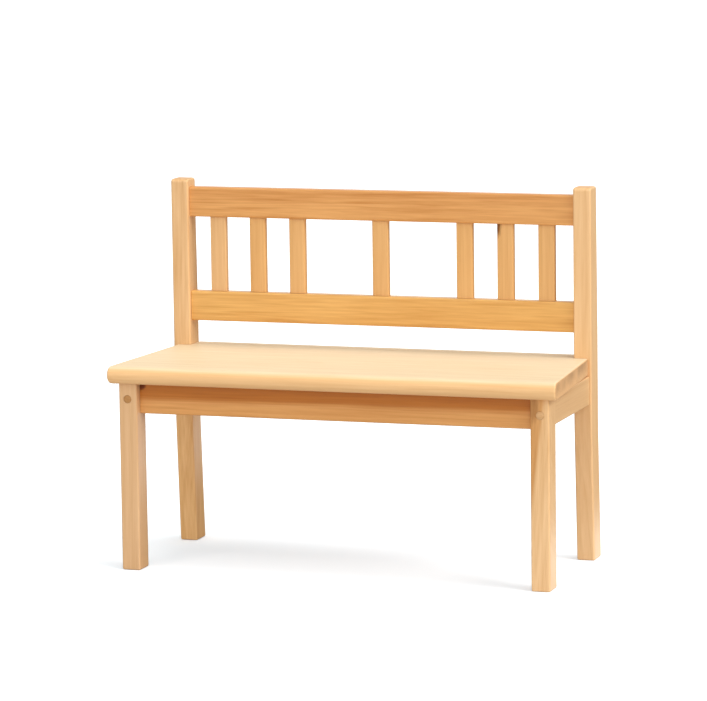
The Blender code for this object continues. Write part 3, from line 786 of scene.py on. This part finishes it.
# %% One mesh of all the copies
def layout_tree(name, draw, sizes):
    """The tree that draws one piece and sets it out, with an input for every size."""
    tree = bpy.data.node_groups.new(name, "GeometryNodeTree")
    add_socket(tree, "INPUT", "Geometry", "Points")
    for label in sizes:
        add_socket(tree, "INPUT", "Float", label)
    add_socket(tree, "INPUT", "Material", "Finish")
    add_socket(tree, "OUTPUT", "Geometry", "Mesh")
    given = tree.nodes.new("NodeGroupInput").outputs
    smooth = node(tree, "GeometryNodeSetShadeSmooth", {"Geometry": draw(tree, given)})
    last = set_out(tree, given["Points"], smooth.outputs[0], given["Finish"])
    node(tree, "NodeGroupOutput", {"Mesh": last.outputs[0]})
    return tree


def laid_out(name, places, draw, finish, sizes, replaced):
    """One mesh of all the copies that a drawing function makes at the places."""
    holder = points_object(name + "_points", places)
    layout = holder.modifiers.new(name, "NODES")
    layout.node_group = layout_tree(name, draw, sizes)
    values = {**sizes, "Finish": finish}
    for item in layout.node_group.interface.items_tree:
        if item.in_out == "INPUT" and item.name in values:
            layout[item.identifier] = values[item.name]
    bpy.context.view_layer.update()
    result = holder.evaluated_get(bpy.context.evaluated_depsgraph_get())
    mesh = bpy.data.meshes.new_from_object(result)
    bpy.data.objects.remove(holder, do_unlink=True)
    mesh.set_sharp_from_angle(angle=SOFT_BELOW)
    piece = linked(name, mesh)
    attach(piece, BODY)
    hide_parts(*replaced)
    print(name + ":", len(places), "copies,", len(mesh.polygons), "faces")


# %% [markdown]
# A slat is a planed strip with its four long edges rounded, and a smaller tenon at each end that
# slides into a mortise in the rail. Its section is a rectangle with filleted corners, drawn along
# a line. The tenons are a second, smaller strip through the first. A bevelled box would look the
# same, but its rounding couldn't be one of the tree's inputs.

# %% Back slats
FILLET_STEPS = 5
TENON_ROUND = 0.25


def swept(tree, path, section):
    """A section carried along a path, with closed ends."""
    return node(tree, "GeometryNodeCurveToMesh", {
        "Curve": path, "Profile Curve": section, "Fill Caps": True}).outputs[0]


def bar(tree, width, thickness, length, fillet):
    """A straight bar along Z, with rounded long edges and closed ends."""
    section = node(tree, "GeometryNodeCurvePrimitiveQuadrilateral",
                   {"Width": width, "Height": thickness})
    eased = node(tree, "GeometryNodeFilletCurve", {
        "Curve": section.outputs[0], "Count": FILLET_STEPS, "Radius": fillet,
        "Limit Radius": True}, mode="POLY")
    path = node(tree, "GeometryNodeCurvePrimitiveLine", {
        "Start": vector(tree, z=times(tree, length, -0.5)),
        "End": vector(tree, z=times(tree, length, 0.5))})
    return swept(tree, path.outputs[0], eased.outputs[0])


def draw_slat(tree, given):
    """One slat with its two tenons, centred on its middle."""
    shoulders = times(tree, given["Shoulder"], 2.0)
    tenons = bar(tree, maths(tree, "SUBTRACT", given["Width"], shoulders),
                 maths(tree, "SUBTRACT", given["Thickness"], shoulders),
                 maths(tree, "MULTIPLY_ADD", given["Tenon"], 2.0, given["Length"]),
                 times(tree, given["Edge Round"], TENON_ROUND))
    strip = bar(tree, given["Width"], given["Thickness"], given["Length"], given["Edge Round"])
    return node(tree, "GeometryNodeMeshBoolean", {"Mesh 2": [strip, tenons]}, operation="UNION",
                solver="EXACT").outputs[0]


slat_names = solids_named("back_slat")
slat = size_of(slat_names[0])
rail_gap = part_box("top_back_rail")[0][2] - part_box("lower_back_rail")[1][2]
shoulder_clearance = 0.3 * MM
slat_length = rail_gap - 2 * shoulder_clearance
SLAT_SIZES = {"Width": slat.x, "Thickness": slat.y, "Length": slat_length,
              "Tenon": (slat.z - slat_length) / 2, "Shoulder": 2 * MM, "Edge Round": 2 * MM}
print("slat, mm:", [round(v / MM, 1) for v in slat])

# %% [markdown]
# All slats share one finish, but each must look sawn from another place. The tree stored every
# slat's number and middle on its copy, so the finish measures from that middle and lets the
# number choose where the pith lay. The first slat is paler sapwood, and one has a small dark knot
# at its upper corner. Seven finishes would do the same with seven times the nodes.

# %% Slat finish
SLAT_TONE = rgb(227, 178, 116)
SLAT_PITH_LEAST = (0, -30, 35)
SLAT_PITH_SPREAD = (0, 60, 90)
SLAT_STRETCH = 613.0
SLAT_DARKEST = (0.99, 0.985, 0.95)
SAPWOOD_GAIN = (0.02, 0.10, 0.34)
CHANCE_PALENESS = 0.25
SAME_NUMBER = 0.4
PALE_SLAT = 0
KNOTTY_SLAT = 5
SLAT_KNOT_PLACE = (52, -5, 12)
SLAT_CUT = {"Ring Width": 2.8, "Waver": 4.0, "Bands": 0.10, "Knot And Shade Size": (22, 8, 8)}


def copy_space(tree, grain):
    """A place measured from its copy's own middle, the copy's number, and three chances for it."""
    at = node(tree, "ShaderNodeTexCoord").outputs["Object"]
    middle = node(tree, "ShaderNodeAttribute", attribute_name="middle").outputs["Vector"]
    number = node(tree, "ShaderNodeAttribute", attribute_name="number").outputs["Fac"]
    chance = node(tree, "ShaderNodeTexWhiteNoise", {"W": number}, noise_dimensions="1D")
    board = along_grain(tree, vector_maths(tree, "SUBTRACT", at, middle), grain)
    return board, number, chance.outputs["Color"]


def slat_finish():
    """Lacquered pine that differs from slat to slat."""
    finish, tree = new_material("pine slats")
    board, number, chance = copy_space(tree, "z")
    pith = vector_maths(tree, "MULTIPLY_ADD", chance, SLAT_PITH_SPREAD, SLAT_PITH_LEAST)
    stretch = vector(tree, times(tree, number, SLAT_STRETCH))
    sapwood = maths(tree, "COMPARE", number, float(PALE_SLAT), SAME_NUMBER)
    paleness = times(tree, split(tree, chance)["X"], CHANCE_PALENESS)
    tone = vector_maths(tree, "MULTIPLY_ADD", maths(tree, "MAXIMUM", sapwood, paleness),
                        SAPWOOD_GAIN, SLAT_DARKEST)
    tone = vector_maths(tree, "MULTIPLY", SLAT_TONE[:3], tone)
    knotty = maths(tree, "COMPARE", number, float(KNOTTY_SLAT), SAME_NUMBER)
    knot = vector_maths(tree, "MULTIPLY_ADD", maths(tree, "SUBTRACT", 1.0, knotty), NO_KNOT,
                        SLAT_KNOT_PLACE)
    own = vector_maths(tree, "ADD", board, stretch)
    knot = vector_maths(tree, "ADD", knot, stretch)
    lacquered(tree, {"Board": own, "Pith": pith, "Tone": tone, "Knot And Shade Place": knot, **SLAT_CUT})
    return finish


slat_places = [(tuple(middle_of(name)), (0, 0, 1), (0, 1, 0)) for name in slat_names]
laid_out("back_slats", slat_places, draw_slat, slat_finish(), SLAT_SIZES, slat_names)

# %% [markdown]
# The heads of the frame bolts are hidden under short wooden plugs, cut from a dowel and pared to a
# slight crown. A plug shows its end grain, which takes up more lacquer and looks darker than the
# leg round it. The copy is a disc of rings whose top is lifted by a formula into a shallow dome;
# a slice of a ball would have no straight side.

# %% Bolt plugs
PLUG_RINGS = 8
PLUG_SIDES = 48
PLUG_CROWN = 0.6 * MM
TOP_WITHIN = 0.01 * MM


def moved(tree, piece, x=0.0, y=0.0, z=0.0, turn=(0, 0, 0)):
    """The piece shifted and turned."""
    return node(tree, "GeometryNodeTransform", {
        "Geometry": piece, "Translation": vector(tree, x, y, z), "Rotation": turn}).outputs[0]


def draw_plug(tree, given):
    """A short cylinder along Z with a domed top; its rim lies at the origin."""
    blank = node(tree, "GeometryNodeMeshCylinder", {
        "Vertices": PLUG_SIDES, "Side Segments": 2, "Fill Segments": PLUG_RINGS,
        "Radius": given["Radius"], "Depth": given["Length"]}).outputs[0]
    sunk = moved(tree, blank, z=times(tree, given["Length"], -0.5))
    place = split(tree, node(tree, "GeometryNodeInputPosition").outputs[0])
    reach = vector_maths(tree, "LENGTH", vector(tree, place["X"], place["Y"]))
    share = maths(tree, "POWER", maths(tree, "DIVIDE", reach, given["Radius"]), 2.0)
    rise = times(tree, given["Crown"], maths(tree, "SUBTRACT", 1.0, share))
    on_top = maths(tree, "GREATER_THAN", place["Z"], -TOP_WITHIN)
    return node(tree, "GeometryNodeSetPosition", {
        "Geometry": sunk, "Selection": on_top, "Offset": vector(tree, z=rise)}).outputs[0]


def plug_place(name):
    """The middle of a plug's rim, and the way its crown faces."""
    low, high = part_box(name)
    middle = middle_of(name)
    front = middle.y < 0
    rim = low[1] + PLUG_CROWN if front else high[1] - PLUG_CROWN
    return ((middle.x, rim, middle.z), (0, -1 if front else 1, 0), (0, 0, 1))


plug_names = solids_named("bolt_plug")
plug = size_of(plug_names[0])
PLUG_SIZES = {"Radius": plug.z / 2, "Length": plug.y - PLUG_CROWN, "Crown": PLUG_CROWN}
print("plug, mm:", [round(v / MM, 1) for v in plug])

# %% [markdown]
# The plug in the left front leg is darker than the leg; the others hardly show. One finish does
# both, mixed by the plug's number, as with the slats.

# %% Plug finish
PLUG_DARK_TONE = rgb(194, 146, 88)
PLUG_PALE_TONE = rgb(222, 182, 130)
PLUG_PITH_LEAST = (0, -20, 6)
PLUG_PITH_SPREAD = (0, 40, 40)
PLUG_CUT = {"Ring Width": 1.6, "Waver": 1.0, "Lines": 0.3, "Bands": 0.2, "End Grain": 1.0}


def plug_finish():
    """End grain of a turned plug: fine rings across the disc, soaked dark by the lacquer."""
    finish, tree = new_material("plug end grain")
    board, number, chance = copy_space(tree, "y")
    pith = vector_maths(tree, "MULTIPLY_ADD", chance, PLUG_PITH_SPREAD, PLUG_PITH_LEAST)
    tone = vector_mix(tree, number, PLUG_DARK_TONE[:3], PLUG_PALE_TONE[:3])
    lacquered(tree, {"Board": board, "Pith": pith, "Tone": tone, **PLUG_CUT})
    return finish


laid_out("bolt_plugs", [plug_place(name) for name in plug_names], draw_plug, plug_finish(),
         PLUG_SIZES, plug_names)

# %% [markdown]
# The bolts, barrel nuts and screws are steel with a thin bright coat of zinc: nearly grey, a
# little cloudy and finely grained. The beech dowels are pale with short dark flecks, and never
# see lacquer, because they are buried in glue. Nearly all of it is out of sight, so two layers of
# noise are enough for each.

# %% Zinc coated steel and beech
ZINC_DULL = (0.50, 0.50, 0.47)
ZINC_BRIGHT = (0.72, 0.73, 0.74)
ZINC_CLOUDS = 260.0
ZINC_GRAINS = 4200.0
ZINC_GLOSS = (0.2, 0.8, 0.24, 0.46)
BEECH_PALE = rgb(222, 184, 146)
BEECH_BROWN = rgb(196, 150, 110)
BEECH_FLECK = rgb(150, 100, 66)
BEECH_GRAIN_REPEATS = (0.05, 0.6)
BEECH_FLECK_REPEATS = (0.35, 1.8)
BEECH_GLOSS = (0.2, 0.8, 0.55, 0.7)


def zinc_finish():
    """Zinc coated steel: a metal whose grey and gloss are a little cloudy."""
    finish, tree = new_material("zinc coated steel")
    at = node(tree, "ShaderNodeTexCoord").outputs["Object"]
    clouds = noise(tree, at, ZINC_CLOUDS, detail=4.0)
    grains = noise(tree, at, ZINC_GRAINS)
    grey = vector_mix(tree, clouds, ZINC_DULL, ZINC_BRIGHT)
    gloss = remap(tree, maths(tree, "ADD", clouds, centred(tree, grains, 0.4)), *ZINC_GLOSS)
    shader = dress(tree, grey, gloss, grains, 0.25, 0.02 * MM)
    shader.inputs["Metallic"].default_value = 1.0
    return finish


def beech_finish():
    """Bare beech: pale pinkish brown with short dark flecks."""
    finish, tree = new_material("beech dowel")
    at = node(tree, "ShaderNodeTexCoord").outputs["Object"]
    board = node(tree, "ShaderNodeMapping", {"Vector": at, "Scale": (1 / MM,) * 3}).outputs[0]
    grain = stretched_noise(tree, board, BEECH_GRAIN_REPEATS, detail=3.0)
    flecks = remap(tree, stretched_noise(tree, board, BEECH_FLECK_REPEATS, shift=19.0), 0.62, 0.72)
    colour = vector_mix(tree, grain, BEECH_PALE[:3], BEECH_BROWN[:3])
    colour = vector_mix(tree, times(tree, flecks, 0.5), colour, BEECH_FLECK[:3])
    dress(tree, colour, remap(tree, grain, *BEECH_GLOSS), grain, 0.3, 0.1 * MM)
    return finish


ZINC = zinc_finish()
hidden_finishes = {"dowel": beech_finish(), "frame_bolt": ZINC}
hidden = [(solid, finish) for name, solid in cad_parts.items()
          for word, finish in hidden_finishes.items() if word in name]
for solid, finish in hidden:
    for material_slot in solid.material_slots:
        material_slot.material = finish
print("dowels and bolts finished:", len(hidden))

# %% [markdown]
# A barrel nut is a short steel rod with a threaded hole through its side and a slot in the end
# that shows, so that a screwdriver can turn the hole to meet the bolt. Drawn as the real one is
# made: a rod, less a cross bore, less a slot. The bolt fills the hole, so its thread is left out.

# %% Barrel nuts
NUT_SIDES = 64
BORE_SIDES = 32
RIGHT_THROUGH = 3.0


def rod(tree, radius, length, sides):
    """A cylinder along Z, centred."""
    return node(tree, "GeometryNodeMeshCylinder", {
        "Vertices": sides, "Radius": radius, "Depth": length}).outputs[0]


def block(tree, x, y, z):
    """A box, centred."""
    return node(tree, "GeometryNodeMeshCube", {"Size": vector(tree, x, y, z)}).outputs[0]


def cut_away(tree, whole, *cutters):
    """The whole less every cutter."""
    return node(tree, "GeometryNodeMeshBoolean", {"Mesh 1": whole, "Mesh 2": list(cutters)},
                operation="DIFFERENCE", solver="EXACT").outputs[0]


def draw_nut(tree, given):
    """A barrel nut along Z, with its slot at the top and its bore along Y."""
    body = rod(tree, given["Radius"], given["Length"], NUT_SIDES)
    through = times(tree, given["Radius"], RIGHT_THROUGH)
    bore = rod(tree, given["Bore Radius"], through, BORE_SIDES)
    slot = block(tree, given["Slot Width"], through, given["Slot Depth"])
    return cut_away(tree, body, moved(tree, bore, turn=(math.pi / 2, 0, 0)),
                    moved(tree, slot, z=times(tree, given["Length"], 0.5)))


nut_names = solids_named("barrel_nut")
nut = size_of(nut_names[0])
NUT_SIZES = {"Radius": nut.y / 2, "Length": nut.x, "Bore Radius": 3.3 * MM,
             "Slot Width": 1.2 * MM, "Slot Depth": 3.0 * MM}
nut_places = [(tuple(middle_of(name)), (-math.copysign(1, middle_of(name).x), 0, 0), (0, 1, 0))
              for name in nut_names]
laid_out("barrel_nuts", nut_places, draw_nut, ZINC, NUT_SIZES, nut_names)

# %% [markdown]
# A countersunk wood screw goes up through each corner block into the seat. Its head has a cross
# recess, its core tapers to a point and its thread is one helix, so the thread is a triangle
# carried along a spiral; rings stacked one by one would look like a row of washers. Each screw
# stopped at its own angle.

# %% Seat screws
HEAD_SIDES = 32
SHANK_SIDES = 24
THREAD_STEPS = 20
RECESS_LENGTH = 1.15
RECESS_WIDTH = 0.26
RECESS_DEPTH = 1.3
FIRST_ANGLE = 0.4
NEXT_ANGLE = 1.3


def cone(tree, top, bottom, depth, sides):
    """A cone or a part of one, along Z from the origin up."""
    return node(tree, "GeometryNodeMeshCone", {
        "Vertices": sides, "Radius Top": top, "Radius Bottom": bottom, "Depth": depth}).outputs[0]


def draw_head(tree, given):
    """The countersunk head, whose top is at the origin, less a cross recess."""
    radius = given["Head Radius"]
    whole = cone(tree, radius, given["Core Radius"], given["Head Depth"], HEAD_SIDES)
    length = times(tree, radius, RECESS_LENGTH)
    width = times(tree, radius, RECESS_WIDTH)
    depth = times(tree, given["Head Depth"], RECESS_DEPTH)
    return cut_away(tree, moved(tree, whole, z=times(tree, given["Head Depth"], -1.0)),
                    block(tree, length, width, depth), block(tree, width, length, depth))


def draw_thread(tree, given):
    """A triangle carried along a helix, from the origin up."""
    core = given["Core Radius"]
    turns = maths(tree, "DIVIDE", given["Thread Length"], given["Pitch"])
    helix = node(tree, "GeometryNodeCurveSpiral", {
        "Resolution": THREAD_STEPS, "Rotations": turns, "Start Radius": core, "End Radius": core,
        "Height": given["Thread Length"]}).outputs[0]
    ridge = node(tree, "GeometryNodeCurvePrimitiveCircle", {
        "Resolution": 3, "Radius": given["Ridge"]}).outputs[0]
    return swept(tree, helix, ridge)


def draw_screw(tree, given):
    """A wood screw with its head at the origin facing up, and its point straight down."""
    core = given["Core Radius"]
    shank_length = maths(tree, "SUBTRACT", given["Length"], given["Point"])
    shank = moved(tree, rod(tree, core, shank_length, SHANK_SIDES),
                  z=times(tree, shank_length, -0.5))
    point = moved(tree, cone(tree, core, 0.0, given["Point"], SHANK_SIDES),
                  z=times(tree, given["Length"], -1.0))
    thread = moved(tree, draw_thread(tree, given), z=times(tree, shank_length, -1.0))
    pieces = [thread, point, shank, draw_head(tree, given)]
    return node(tree, "GeometryNodeJoinGeometry", {0: pieces}).outputs[0]


def screw_place(number, name):
    """The middle of a screw's head, the way it faces and the angle at which it stopped."""
    stopped_at = FIRST_ANGLE + NEXT_ANGLE * number
    middle = middle_of(name)
    return ((middle.x, middle.y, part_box(name)[0][2]), (0, 0, -1),
            (math.cos(stopped_at), math.sin(stopped_at), 0))


screw_names = solids_named("seat_screw")
screw = size_of(screw_names[0])
SCREW_SIZES = {
    "Head Radius": screw.x / 2, "Head Depth": 2.4 * MM, "Core Radius": 1.35 * MM,
    "Length": screw.z, "Point": 5 * MM, "Thread Length": 20 * MM, "Pitch": 1.6 * MM,
    "Ridge": 0.45 * MM}
screw_places = [screw_place(number, name) for number, name in enumerate(screw_names)]
laid_out("seat_screws", screw_places, draw_screw, ZINC, SCREW_SIZES, screw_names)
